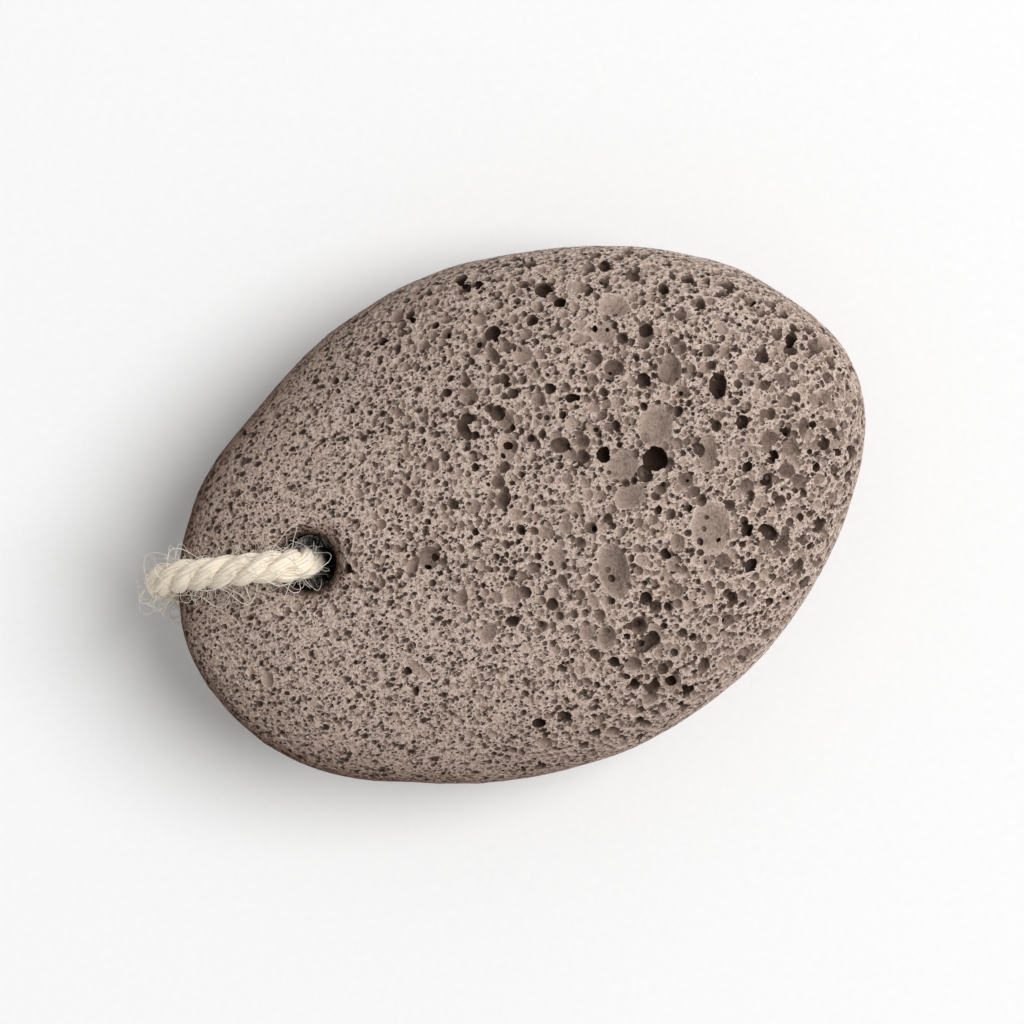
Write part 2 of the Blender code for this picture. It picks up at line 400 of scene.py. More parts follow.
def cord_path(step):
    """The whole cord: a tail, the knot, up the bore, round the tip, the knot and the other tail.

    Returns its points, how far along each one is and its diameter there.
    """
    tip_bight, bore_bight = reef_knot()
    loop = [Vector(p) * MM for p in CORD_ROUTE_MM]
    points = bore_bight + loop + tip_bight[::-1]
    path, along = even_path(points, step)
    most = along[np.argmin(np.linalg.norm(path - LEAN_POINT, axis=1))]
    path[:, 0] -= LEAN * np.exp(-((along - most) / LEAN_SPREAD) ** 2 / 2)
    knot = np.array(KNOT_CENTRE)
    away = np.linalg.norm((path - knot)[:, :2], axis=1)
    squeeze = np.clip((away - SQUEEZE_REACH) / SQUEEZE_FADE, 0, 1)
    squeeze = squeeze * squeeze * (3 - 2 * squeeze)
    diameter = KNOTTED_DIAMETER + (CORD_DIAMETER - KNOTTED_DIAMETER) * squeeze
    return path, along, diameter


def carried_frames(path):
    """Two side directions along a path, carried from point to point without twisting."""
    tangent = np.gradient(path, axis=0)
    tangent /= np.linalg.norm(tangent, axis=1)[:, None]
    side = np.zeros_like(path)
    first = np.cross(tangent[0], (0, 0, 1.0))
    side[0] = first / np.linalg.norm(first)
    for k in range(1, len(path)):
        carried = side[k - 1] - tangent[k] * np.dot(side[k - 1], tangent[k])
        side[k] = carried / np.linalg.norm(carried)
    return tangent, side, np.cross(tangent, side)


def tube(line, outward, radius, sides):
    """Rings of a round tube along a line; outward is any direction off the line at each point."""
    tangent = np.gradient(line, axis=0)
    tangent /= np.linalg.norm(tangent, axis=1)[:, None]
    first = outward - tangent * np.sum(outward * tangent, axis=1)[:, None]
    first /= np.linalg.norm(first, axis=1)[:, None]
    second = np.cross(tangent, first)
    turn = np.arange(sides) * math.tau / sides
    ring = (first[:, None] * np.cos(turn)[None, :, None]
            + second[:, None] * np.sin(turn)[None, :, None])
    return line[:, None] + ring * np.asarray(radius).reshape(-1, 1, 1)


def wander(rng, count, reach, size):
    """A smooth random wave: count values that change over about reach values."""
    knots = rng.normal(size=count // reach + 4)
    return size * np.interp(np.arange(count) / reach, np.arange(len(knots)), knots)


class TubeMesh:
    """Gathers many closed tubes into one mesh with a UV map: u round a tube, v along it in mm."""

    def __init__(self):
        self.verts = []
        self.faces = []
        self.uvs = []
        self.count = 0

    def add(self, rings, along, shift=0.0):
        """Adds a tube and its two end caps. Shift moves its pattern round it."""
        lines, sides = rings.shape[:2]
        rings[..., 2] = np.maximum(rings[..., 2], FLOOR_GAP)
        self.verts.append(rings.reshape(-1, 3))
        grid = self.count + np.arange(lines * sides).reshape(lines, sides)
        near, far = grid[:-1], grid[1:]
        quads = np.stack([near, np.roll(near, -1, 1), np.roll(far, -1, 1), far], axis=-1)
        self.faces += quads.reshape(-1, 4).tolist()
        u = np.arange(sides + 1) / sides + shift
        v = along / MM
        corners = np.zeros((lines - 1, sides, 4, 2))
        corners[..., 0, 0] = corners[..., 3, 0] = u[:-1]
        corners[..., 1, 0] = corners[..., 2, 0] = u[1:]
        corners[..., 0, 1] = corners[..., 1, 1] = v[:-1, None]
        corners[..., 2, 1] = corners[..., 3, 1] = v[1:, None]
        self.uvs.append(corners.reshape(-1, 2))
        self.faces.append(grid[0][::-1].tolist())
        self.faces.append(grid[-1].tolist())
        self.uvs.append(np.tile([shift, v[0]], (sides, 1)))
        self.uvs.append(np.tile([shift, v[-1]], (sides, 1)))
        self.count += lines * sides

    def build(self, name):
        """The object of all the tubes."""
        mesh = bpy.data.meshes.new(name)
        mesh.from_pydata(np.concatenate(self.verts).tolist(), [], self.faces)
        layer = mesh.uv_layers.new(name="yarn")
        layer.data.foreach_set("uv", np.concatenate(self.uvs).astype(np.float32).ravel())
        mesh.shade_smooth()
        return link_mesh(name, mesh)


def lay_cord(path, along, diameter):
    """Three left-laid strands of soft yarns. A yarn lies nearly straight along the cord."""
    rng = np.random.default_rng(SEED)
    tangent, side, up = carried_frames(path)
    count = len(path)
    scale = (diameter / CORD_DIAMETER)[:, None]
    mesh = TubeMesh()
    for strand in range(STRANDS):
        turn = -math.tau * along / LAY_LENGTH + math.tau * strand / STRANDS
        turn = turn + wander(rng, count, *STRAND_TURN_WOBBLE)
        out = side * np.cos(turn)[:, None] + up * np.sin(turn)[:, None]
        offset = (STRAND_OFFSET + wander(rng, count, *STRAND_WOBBLE))[:, None]
        middle = path + out * scale * offset * MM
        mesh.add(tube(middle, out, STRAND_CORE * scale[:, 0], CORE_SIDES), along)
        flow = np.gradient(middle, axis=0)
        flow /= np.linalg.norm(flow, axis=1)[:, None]
        across = np.cross(flow, out)
        for yarn in range(YARNS):
            spin = math.tau * along / YARN_LAY + math.tau * yarn / YARNS
            spin = spin + wander(rng, count, *YARN_TURN_WOBBLE)
            lean = out * np.cos(spin)[:, None] + across * np.sin(spin)[:, None]
            reach = (YARN_OFFSET + wander(rng, count, *YARN_OFFSET_WOBBLE))[:, None] * scale * MM
            line = middle + lean * reach
            thick = (YARN_RADIUS + wander(rng, count, *YARN_RADIUS_WOBBLE)) * scale[:, 0] * MM
            mesh.add(tube(line, lean, thick, YARN_SIDES), along,
                     shift=rng.random() * PATTERN_SHIFTS)
    return mesh.build("twisted_cord")


def unit(vector):
    """The vector at a length of 1."""
    return vector / np.linalg.norm(vector)


def fibre_line(rng, kind, path, k, out, tangent, radius):
    """One loose fibre's points and a way off its line. It curls and is pulled back when it strays."""
    length = rng.uniform(*kind["length"]) * MM
    step = length / kind["points"]
    curl = rng.uniform(*kind["curl"]) / MM
    way = rng.choice((-1, 1))
    heading = unit(tangent * way * rng.uniform(*FIBRE_FORWARD) + out * rng.uniform(*kind["lift"]))
    bend = unit(np.cross(heading, rng.normal(size=3)))
    spacing = np.linalg.norm(path[1] - path[0])
    line = [path[k] + out * radius * FIBRE_ROOT]
    for j in range(kind["points"]):
        beside = path[int(np.clip(k + way * j * step * FIBRE_PACE / spacing, 0, len(path) - 1))]
        back = beside - line[-1]
        astray = max(0.0, np.linalg.norm(back) / radius - kind["stray"])
        heading = heading + bend * curl * step + rng.normal(size=3) * kind["waver"]
        heading = unit(heading + unit(back) * astray * FIBRE_RETURN)
        bend = unit(bend - heading * np.dot(bend, heading) + rng.normal(size=3) * FIBRE_DRIFT)
        line.append(line[-1] + heading * step)
    return np.array(line), bend


def loose_fibres(path, diameter):
    """Fine curly fibres that have worked loose from the cord."""
    rng = np.random.default_rng(SEED + 1)
    tangent, side, up = carried_frames(path)
    mesh = TubeMesh()
    from_bore = np.linalg.norm((path - LOWER_MOUTH)[:, :2], axis=1)
    in_bore = (from_bore < BORE_NEAR) & (path[:, 2] > BORE_SPAN[0]) & (path[:, 2] < BORE_SPAN[1])
    anywhere = np.arange(FIBRE_START, len(path) - FIBRE_START)
    for kind in FIBRE_KINDS:
        starts = np.flatnonzero(in_bore) if kind["bore"] else anywhere
        for _ in range(kind["count"]):
            k = rng.choice(starts)
            turn = rng.random() * math.tau
            out = side[k] * math.cos(turn) + up[k] * math.sin(turn)
            pulled = out + LOW_SIDE * kind["low"]
            pulled = pulled - tangent[k] * np.dot(pulled, tangent[k])
            if np.linalg.norm(pulled) > LEAST_PULL:
                out = unit(pulled)
            line, bend = fibre_line(rng, kind, path, k, out, tangent[k], diameter[k] / 2)
            rings = tube(line, np.tile(bend, (len(line), 1)), kind["radius"] * MM, FIBRE_SIDES)
            mesh.add(rings, np.linspace(0, 1, len(line)) * FIBRE_STREAKS,
                     shift=rng.random() * PATTERN_SHIFTS)
    return mesh.build("loose_fibres")


def natural_fibre(name, light, middle, dark):
    """Bleached bast fibre, softly twisted: pale, matt and silky along the fibres, browner between."""
    material, tree, shader = new_material(name)
    yarn = add_node(tree, "UVMap", uv_map="yarn")
    place = add_node(tree, "TexCoord").outputs["Object"]
    fibre = add_node(tree, "Mapping", {"Vector": yarn, "Rotation": (0, 0, STREAK_LEAN),
                                       "Scale": (STREAKS_ROUND, STREAKS_ALONG, 1.0)})
    streaks = add_node(tree, "TexNoise", {"Vector": fibre, "Scale": 1.0, "Detail": 3.0,
                                          "Roughness": 0.65})
    lit = add_node(tree, "MapRange", {"Value": streaks, "From Min": 0.33, "From Max": 0.62})
    body = add_node(tree, "MixRGB", {"Fac": lit, "Color1": linear(dark), "Color2": linear(light)})
    patches = add_node(tree, "TexNoise", {"Vector": place, "Scale": 1 / PATCH_WIDTH, "Detail": 2.0})
    warm = add_node(tree, "MapRange", {"Value": patches, "From Min": 0.4, "From Max": 0.7,
                                       "To Max": 0.55})
    tint = add_node(tree, "MixRGB", {"Fac": warm, "Color1": body, "Color2": linear(middle)})
    # Painted shade darkens the cord inside the drilled bore.
    bore_shaded = add_node(tree, "MixRGB", {"Fac": bore_shade(tree, place), "Color1": tint,
                                        "Color2": linear(BORE_SHADE_COLOUR)})
    bump = add_node(tree, "Bump", {"Height": streaks, "Distance": STREAK_RELIEF, "Strength": 0.8})
    tree.links.new(bore_shaded.outputs["Color"], shader.inputs["Base Color"])
    tree.links.new(bump.outputs["Normal"], shader.inputs["Normal"])
    shader.inputs["Roughness"].default_value = 0.82
    shader.inputs["Specular IOR Level"].default_value = 0.25
    shader.inputs["Sheen Weight"].default_value = 0.25
    shader.inputs["Sheen Roughness"].default_value = 0.4
    return material


# ---------------------------------------------------------------- stone

# Bubbles with a place of their own on the top: x, y, width, length in mm, degrees that the length
# is turned from +X, and how deep it is, from 0 for a dish to 1 for a hole under its rim.
PLACED_BUBBLES = [
    (18.6, 0.3, 3.4, 3.2, 0, 1.0),
    (20.4, 4.4, 5.2, 6.4, 68, 0.15),
    (8.0, -11.6, 4.4, 7.9, 82, 0.3),
    (22.3, -11.0, 6.1, 7.7, 68, 0.05),
    (21.4, 21.5, 4.2, 4.2, 0, 0.1),
    (18.6, 18.6, 3.6, 3.6, 0, 0.1),
    (-14.3, -0.6, 3.2, 3.3, 0, 0.4),
    (-13.7, -0.8, 1.3, 1.3, 0, 1.0),
    (-21.4, -14.1, 2.0, 4.6, -62, 0.2),
    (-22.7, -13.7, 1.1, 1.1, 0, 1.0),
    (-22.6, -16.6, 0.9, 1.4, 60, 1.0),
    (14.1, 1.1, 4.2, 5.0, 23, 0.15),
    (13.7, -3.1, 3.7, 4.2, 0, 0.25),
    (25.6, -1.5, 2.6, 5.1, 68, 0.35),
    (25.0, 10.6, 3.3, 4.3, 68, 0.4),
    (30.3, 6.3, 2.4, 3.4, 68, 0.9),
    (24.2, 16.9, 1.8, 1.9, 0, 0.9),
    (18.2, 13.7, 2.3, 2.8, -22, 0.6),
    (32.2, 21.3, 1.7, 1.8, 0, 0.9),
    (37.4, 7.6, 1.9, 1.9, 0, 0.8),
    (41.5, 7.1, 1.8, 1.8, 0, 0.8),
    (7.6, 6.8, 2.2, 2.8, -22, 0.7),
    (10.6, 6.1, 2.0, 2.0, 0, 0.6),
    (9.9, 4.2, 1.9, 1.9, 0, 0.7),
    (39.0, -3.3, 1.5, 2.9, 68, 0.7),
    (29.4, -14.6, 1.9, 3.3, -57, 0.9),
    (22.1, -15.9, 2.4, 2.4, 0, 0.5),
    (1.4, -7.0, 2.5, 3.4, 68, 0.2),
    (9.3, -22.1, 2.3, 2.4, 0, 0.8),
    (3.8, -19.5, 2.6, 3.6, 68, 0.4),
    (-10.7, -13.0, 2.1, 3.2, 38, 0.4),
    (7.1, -28.2, 2.1, 2.2, 0, 0.8),
    (9.8, -28.6, 2.5, 2.6, 0, 0.4),
    (-12.2, -7.2, 1.8, 2.5, 68, 0.5),
    (-5.4, -27.2, 1.2, 2.1, -22, 1.0),
    (-1.3, -12.6, 1.7, 1.7, 0, 0.8),
    (-5.7, -9.4, 2.3, 2.8, 68, 0.3),
    (-3.5, 13.5, 1.7, 3.2, -82, 0.8),
    (-1.2, 17.4, 2.5, 2.5, 0, 0.4),
    (3.9, 21.3, 1.5, 2.9, -82, 0.7),
    (7.5, 20.1, 2.8, 2.9, 0, 0.2),
    (2.1, 12.6, 2.5, 2.5, 0, 0.4),
    (0.9, 9.1, 2.8, 3.9, 68, 0.2),
    (-19.8, 10.9, 1.4, 1.4, 0, 0.4),
    (-18.5, 5.9, 1.5, 1.5, 0, 0.5),
    (-40.7, -7.7, 1.9, 2.3, 68, 0.3),
    (-33.0, -0.1, 1.1, 1.2, 0, 0.4),
]

PLACED_DETAIL = 3                   # subdivisions of a placed bubble's ball
PLACED_SHAPES = 4                   # how many different balls there are
PLACED_CELL = 9 * MM
PLACED_PASSES = 4
PLACED_HEIGHT = (0.75, 0.5)         # a dish's height in widths, and how much more a hole's is
PLACED_VALUE = (0.98, -0.8)         # a dish's bubble value, and how much more a hole's is
FREE_OVERLAP = 1.0                  # a placed bubble may overlap others
ABOVE = 0.1                         # a height above the stone

# The foam's own bubbles, in the order they are carved: radius in mm where the foam is fine and
# where it is coarse, how many places are tried, subdivisions of the ball, the share of the tries
# that count in fine foam, in coarse foam and of those inside a bubble carved before, and how deep
# the centres lie under the skin, in radii.
FOAM_SIZES = [
    dict(fine=(0.60, 0.80), coarse=(0.90, 1.40), tries=2600, detail=3, share=(0.02, 0.8, 0.2),
         sunk=(-0.5, 0.6)),
    dict(fine=(0.38, 0.54), coarse=(0.42, 0.86), tries=60000, detail=2, share=(0.10, 1.0, 0.05),
         sunk=(-0.25, 0.6)),
]
FOAM_SHAPES = 8
FOAM_PASSES = 3
FOAM_CELL = 2.3                     # in the largest radius
SMALL_BIAS = 1.8                    # above 1, small bubbles outnumber large ones
SQUASH = (0.72, 1.0)                # the two shorter radii of a bubble, in the longest
MERGED_SHARE = 0.45                 # this share of the bubbles may open into their neighbours
MERGED_OVERLAP = (0.0, 0.3)
WALL_OVERLAP = -0.03                # the others keep a wall
REACH_SHARE = 0.97                  # a squashed bubble takes up a little less than its radius
FOAM_VALUE = (0.55, -0.5)           # bubble value of a half-open bubble, and how it falls with depth
VALUE_SPREAD = 0.12
VALUE_ENDS = (0.1, 0.98)
UNDERSIDE = -0.35                   # the skin whose normal falls lower than this
UNDERSIDE_SHARE = 0.12              # the underside, worn by use, keeps fewer open bubbles

# Pin-sized bubbles, too many to carve, are drawn by the material, in layers: how far apart they
# are in mm, their radius as a share of that, how deep the bowls stand in the relief in mm, the
# power by which the painted shade in a bowl darkens it, and how dark the palest is. Real ones go
# down to 0.01 mm, and the smallest drawn are the finest that show.
PIN_BUBBLES = [
    dict(apart=1.25, radius=(0.10, 0.36), bowl=0.55, fade=0.5, palest=1.0),
    dict(apart=0.64, radius=(0.16, 0.48), bowl=0.36, fade=0.5, palest=0.62),
    dict(apart=0.37, radius=(0.14, 0.50), bowl=0.22, fade=0.6, palest=0.45),
]
BOWL_SHAPE = 0.6                    # 0.5 would be round, and 1 is a dish
WALL_SHARE = 0.22                   # how strongly they show inside the carved bubbles
FLOW_TURN = 72.0                    # degrees from +X across which the flow drew them out
FLOW_DRAW = 0.66                    # how much of their width stays
WOBBLE_WIDTH = 0.55 * MM            # their outlines are bent at this width
WOBBLE = 0.40 * MM
GRAIN_WIDTH = 0.40 * MM             # the grit of broken glass on the skin
GRAIN_HEIGHT = 0.42 * MM
DRIFT_WIDTH = 11 * MM               # patches where the skin's tone drifts

# Painted shade in the drilled bore, full at the first value of a pair and none at the second.
BORE_SHADE_COLOUR = "1A120D"
MOST_BORE_SHADE = 0.93
BORE_SHADE_REACH = (4.1 * MM, 4.9 * MM)   # from the bore's axis
BORE_SHADE_UPPER_END = (24.5 * MM, 27.8 * MM)
BORE_SHADE_LOWER_END = (12 * MM, 9 * MM)


def tumbled_body():
    """The stone before its bubbles: the frame's solid, its facets and edges rounded by tumbling.

    Its face attribute "bubble" is 0 on the skin. Carved faces have their bubble's own value, from
    0.1 in a deep and nearly closed bubble to 1 in an open dish.
    """
    mesh = frame["nodes"]["pumice_stone"].data.copy()
    body = link_mesh("pumice", mesh)
    make_active(body)
    bpy.ops.object.mode_set(mode="EDIT")
    bpy.ops.mesh.select_all(action="SELECT")
    bpy.ops.mesh.remove_doubles(threshold=MERGE)
    bpy.ops.object.mode_set(mode="OBJECT")
    apply_modifier(body, "REMESH", mode="VOXEL", voxel_size=SKIN_STEP)
    apply_modifier(body, "SMOOTH", iterations=SKIN_SMOOTHING, factor=0.5)
    swell = bpy.data.textures.new("tumbled_swell", "CLOUDS")
    swell.noise_scale = SWELL_WIDTH
    apply_modifier(body, "DISPLACE", texture=swell, texture_coords="LOCAL", strength=SWELL_HEIGHT,
                   mid_level=0.5)
    places = read_places(body.data)
    low, high = (np.array(corner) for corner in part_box("pumice_stone"))
    shrunk_low, shrunk_high = places.min(axis=0), places.max(axis=0)
    places = low + (places - shrunk_low) * (high - low) / (shrunk_high - shrunk_low)
    # Smoothing has narrowed the bore. This opens it again.
    from_axis = places[:, :2] - BORE_AXIS
    reach = np.linalg.norm(from_axis, axis=1)[:, None]
    near = np.clip((BORE_BLEND - reach) / BORE_FADE, 0, 1)
    places[:, :2] += from_axis / reach * near * BORE_WIDENING
    body.data.vertices.foreach_set("co", places.astype(np.float32).ravel())
    body.data.attributes.new("bubble", "FLOAT", "FACE")
    return body


def read_places(mesh):
    """The places of a mesh's vertices."""
    places = np.empty(len(mesh.vertices) * 3, np.float32)
    mesh.vertices.foreach_get("co", places)
    return places.reshape(-1, 3)


def bubble_shape(detail, seed):
    """A gas bubble frozen a little out of round, one unit in radius: its points and triangles."""
    deselect_all()
    bpy.ops.mesh.primitive_ico_sphere_add(subdivisions=detail, radius=1.0, location=(0, 0, 0))
    bubble = bpy.context.object
    bpy.ops.object.mode_set(mode="EDIT")
    bpy.ops.mesh.select_all(action="SELECT")
    bpy.ops.transform.vertex_random(offset=OUT_OF_ROUND + ROUGHER * detail, normal=1.0, seed=seed)
    bpy.ops.mesh.vertices_smooth(factor=0.5, repeat=2 * detail - 1)
    bpy.ops.object.mode_set(mode="OBJECT")
    points = read_places(bubble.data).astype(float)
    points -= points.mean(axis=0)
    points /= np.linalg.norm(points, axis=1).mean()
    faces = np.array([list(face.vertices) for face in bubble.data.polygons])
    bpy.data.objects.remove(bubble, do_unlink=True)
    return points, faces


def surface_samples(mesh, count, rng):
    """Random places spread evenly over a mesh, with the way out and the bubble value of each."""
    mesh.calc_loop_triangles()
    triangles = np.empty(len(mesh.loop_triangles) * 3, np.int32)
    mesh.loop_triangles.foreach_get("vertices", triangles)
    owners = np.empty(len(mesh.loop_triangles), np.int32)
    mesh.loop_triangles.foreach_get("polygon_index", owners)
    values = np.empty(len(mesh.polygons), np.float32)
    mesh.attributes["bubble"].data.foreach_get("value", values)
    a, b, c = (read_places(mesh)[triangles.reshape(-1, 3)[:, k]] for k in range(3))
    normal = np.cross(b - a, c - a)
    area = np.linalg.norm(normal, axis=1)
    normal /= np.maximum(area, LEAST_AREA)[:, None]
    chosen = rng.choice(len(area), count, p=area / area.sum())
    u, v = rng.random((2, count))
    folded = u + v > 1
    u[folded], v[folded] = 1 - u[folded], 1 - v[folded]
    a, b, c = a[chosen], b[chosen], c[chosen]
    places = a + (b - a) * u[:, None] + (c - a) * v[:, None]
    return places, normal[chosen], values[owners[chosen]]


def coarseness(places, normals):
    """0 where the foam is fine, at the narrow end and the rim, to 1 where it is coarse."""
    x, y, _ = places.T / MM
    wave = sum(size * np.sin(by_x * x + by_y * y + start) for size, by_x, by_y, start in BORDER_WAVES)
    along = np.clip((x - COARSE_START + wave) / COARSE_SPAN, 0, 1)
    level = np.clip((np.abs(normals[:, 2]) - TOP_SLOPE[0]) / TOP_SLOPE[1], 0, 1)
    wide_end = np.clip((x - WIDE_END[0]) / WIDE_END[1], 0, 1)
    rim = level + (1 - level) * WIDE_RIM_SHARE * wide_end
    share = LEAST_RIM_SHARE + (1 - LEAST_RIM_SHARE) * rim
    return along * along * (3 - 2 * along) * share


class Bubbles:
    """Bubbles to carve, sorted into passes so that those of one pass never touch."""

    def __init__(self, cell, passes):
        self.cell = cell
        self.passes = passes
        self.grid = {}
        self.kept = []

    def add(self, centre, reach, overlap, **facts):
        """Keeps a bubble if it overlaps none by more than allowed, in the first pass it suits."""
        x, y, z = (float(c) for c in centre)
        i, j, k = (int(c // self.cell) for c in (x, y, z))
        taken = set()
        for cell in [(i + dx, j + dy, k + dz) for dx in NEAR for dy in NEAR for dz in NEAR]:
            for ox, oy, oz, other, turn in self.grid.get(cell, ()):
                apart = (x - ox) ** 2 + (y - oy) ** 2 + (z - oz) ** 2
                both = reach + other
                if apart < (both * (1 - overlap)) ** 2:
                    return
                if apart < (both + SEPTUM) ** 2:
                    taken.add(turn)
        free = [turn for turn in range(self.passes) if turn not in taken]
        if free:
            self.grid.setdefault((i, j, k), []).append((x, y, z, reach, free[0]))
            self.kept.append(dict(centre=centre, turn=free[0], **facts))


def random_turns(rng, count):
    """Random rotations, as matrices."""
    q = rng.normal(size=(count, 4))
    w, x, y, z = (q / np.linalg.norm(q, axis=1)[:, None]).T
    return np.stack([
        np.stack([1 - 2 * (y * y + z * z), 2 * (x * y - z * w), 2 * (x * z + y * w)], -1),
        np.stack([2 * (x * y + z * w), 1 - 2 * (x * x + z * z), 2 * (y * z - x * w)], -1),
        np.stack([2 * (x * z - y * w), 2 * (y * z + x * w), 1 - 2 * (x * x + y * y)], -1)], -2)


def carve(body, bubbles, shapes, rng):
    """Cuts the bubbles out of the stone, one pass at a time."""
    for turn in range(bubbles.passes):
        chosen = [b for b in bubbles.kept if b["turn"] == turn]
        if not chosen:
            continue
        points, faces, values = [], [], []
        count = 0
        for bubble in chosen:
            shape, triangles = shapes[rng.integers(len(shapes))]
            points.append(shape @ bubble["form"].T + bubble["centre"])
            faces.append(triangles + count)
            values.append(np.full(len(triangles), bubble["value"]))
            count += len(shape)
        mesh = bpy.data.meshes.new("gas")
        mesh.from_pydata(np.concatenate(points).tolist(), [], np.concatenate(faces).tolist())
        mark = mesh.attributes.new("bubble", "FLOAT", "FACE")
        mark.data.foreach_set("value", np.concatenate(values).astype(np.float32))
        gas = link_mesh("gas", mesh)
        apply_modifier(body, "BOOLEAN", operation="DIFFERENCE", solver="MANIFOLD", object=gas)
        bpy.data.objects.remove(gas, do_unlink=True)


def placed_bubbles(body, rng):
    """The bubbles that have a place of their own, set on the skin below their x and y."""
    tree = BVHTree.FromObject(body, bpy.context.evaluated_depsgraph_get())
    bubbles = Bubbles(cell=PLACED_CELL, passes=PLACED_PASSES)
    for x, y, width, length, turn, deep in PLACED_BUBBLES:
        hit, normal, _, _ = tree.ray_cast(Vector((x * MM, y * MM, ABOVE)), Vector((0, 0, -1)))
        # The width is that of the opening. The centre lies half a radius above it to half below.
        sunk = deep - 0.5
        open_share = math.sqrt(1 - sunk * sunk)
        half = np.array([length, width, 0.0]) * MM / 2 / open_share
        half[2] = half[:2].min() * (PLACED_HEIGHT[0] + PLACED_HEIGHT[1] * deep)
        tilt = Vector((0, 0, 1)).rotation_difference(normal).to_matrix()
        form = np.array(tilt @ Matrix.Rotation(math.radians(turn), 3, "Z")) @ np.diag(half)
        centre = np.array(hit - normal * sunk * half[2])
        value = PLACED_VALUE[0] + PLACED_VALUE[1] * deep + OWN_VALUE * rng.random()
        bubbles.add(centre, half.max(), FREE_OVERLAP, form=form, value=value)
    return bubbles


def foam_bubbles(body, kind, rng):
    """Bubbles of one size, crowded over the whole skin and into the larger bubbles' walls."""
    count = kind["tries"]
    places, normals, inside = surface_samples(body.data, count, rng)
    coarse = coarseness(places, normals)
    low, high = (kind["fine"][k] + (kind["coarse"][k] - kind["fine"][k]) * coarse for k in (0, 1))
    radius = (low + (high - low) * rng.random(count) ** SMALL_BIAS) * MM
    in_fine, in_coarse, in_bubble = kind["share"]
    share = in_fine + (in_coarse - in_fine) * coarse
    share = np.where(inside > 0, share * in_bubble, share)
    share = np.where(normals[:, 2] < UNDERSIDE, share * UNDERSIDE_SHARE, share)
    sunk = rng.uniform(*kind["sunk"], count)
    squash = rng.uniform(*SQUASH, (count, 2))
    overlap = np.where(rng.random(count) < MERGED_SHARE, rng.uniform(*MERGED_OVERLAP, count),
                       WALL_OVERLAP)
    forms = random_turns(rng, count)
    value = FOAM_VALUE[0] + FOAM_VALUE[1] * sunk + rng.normal(0, VALUE_SPREAD, count)
    value = np.clip(value, *VALUE_ENDS) + OWN_VALUE * rng.random(count)
    bubbles = Bubbles(cell=FOAM_CELL * radius.max(), passes=FOAM_PASSES)
    for k in np.flatnonzero(rng.random(count) < share):
        form = forms[k] @ np.diag([1.0, squash[k, 0], squash[k, 1]]) * radius[k]
        centre = places[k] - normals[k] * sunk[k] * radius[k]
        bubbles.add(centre, radius[k] * REACH_SHARE, overlap[k], form=form, value=value[k])
    return bubbles


def drop_crumbs(item):
    """Deletes the crumbs of glass that the bubbles have cut free.

    It selects all that hangs together with one vertex, until that is most of the stone.
    """
    make_active(item)
    verts = item.data.vertices
    for start in range(0, len(verts), CRUMB_STEP):
        bpy.ops.object.mode_set(mode="EDIT")
        bpy.ops.mesh.select_mode(type="VERT")
        bpy.ops.mesh.select_all(action="DESELECT")
        bpy.ops.object.mode_set(mode="OBJECT")
        verts[start].select = True
        bpy.ops.object.mode_set(mode="EDIT")
        bpy.ops.mesh.select_linked()
        bpy.ops.object.mode_set(mode="OBJECT")
        chosen = np.empty(len(verts), bool)
        verts.foreach_get("select", chosen)
        if chosen.mean() > 0.5:
            break
    bpy.ops.object.mode_set(mode="EDIT")
    bpy.ops.mesh.select_all(action="INVERT")
    bpy.ops.mesh.delete(type="VERT")
    bpy.ops.object.mode_set(mode="OBJECT")


def sharpen_rims(mesh):
    """Smooth shading inside each bubble and on the skin, crisp on the rims between them."""
    values = np.empty(len(mesh.polygons), np.float32)
    mesh.attributes["bubble"].data.foreach_get("value", values)
    corners = np.empty(len(mesh.polygons), np.int32)
    mesh.polygons.foreach_get("loop_total", corners)
    edges = np.empty(len(mesh.loops), np.int32)
    mesh.loops.foreach_get("edge_index", edges)
    beside = np.repeat(values, corners)
    lowest = np.full(len(mesh.edges), 2.0, np.float32)
    highest = np.full(len(mesh.edges), -2.0, np.float32)
    np.minimum.at(lowest, edges, beside)
    np.maximum.at(highest, edges, beside)
    mesh.shade_smooth()
    rims = mesh.attributes.new("sharp_edge", "BOOLEAN", "EDGE")
    rims.data.foreach_set("value", highest - lowest > SAME_BUBBLE)


def foam_stone():
    """The stone with its bubbles, large ones first, so that small ones open into their walls.

    Its point attributes say how deep under the skin a place is, in metres, and how level the skin
    is there: 1 where it lies flat and 0 where it stands upright.
    """
    rng = np.random.default_rng(SEED + 2)
    body = tumbled_body()
    skin = BVHTree.FromObject(body, bpy.context.evaluated_depsgraph_get())
    shapes = [bubble_shape(PLACED_DETAIL, seed) for seed in range(PLACED_SHAPES)]
    carve(body, placed_bubbles(body, rng), shapes, rng)
    for kind in FOAM_SIZES:
        shapes = [bubble_shape(kind["detail"], seed) for seed in range(FOAM_SHAPES)]
        carve(body, foam_bubbles(body, kind, rng), shapes, rng)
    drop_crumbs(body)
    triangles = sum(len(face.vertices) - 2 for face in body.data.polygons)
    apply_modifier(body, "DECIMATE", ratio=MOST_TRIANGLES / triangles, use_collapse_triangulate=True)
    sharpen_rims(body.data)
    nearest = [skin.find_nearest(vert.co) for vert in body.data.vertices]
    depth = body.data.attributes.new("depth", "FLOAT", "POINT")
    depth.data.foreach_set("value", [distance for _, _, _, distance in nearest])
    slope = body.data.attributes.new("slope", "FLOAT", "POINT")
    slope.data.foreach_set("value", [abs(normal.z) for _, normal, _, _ in nearest])
    return body


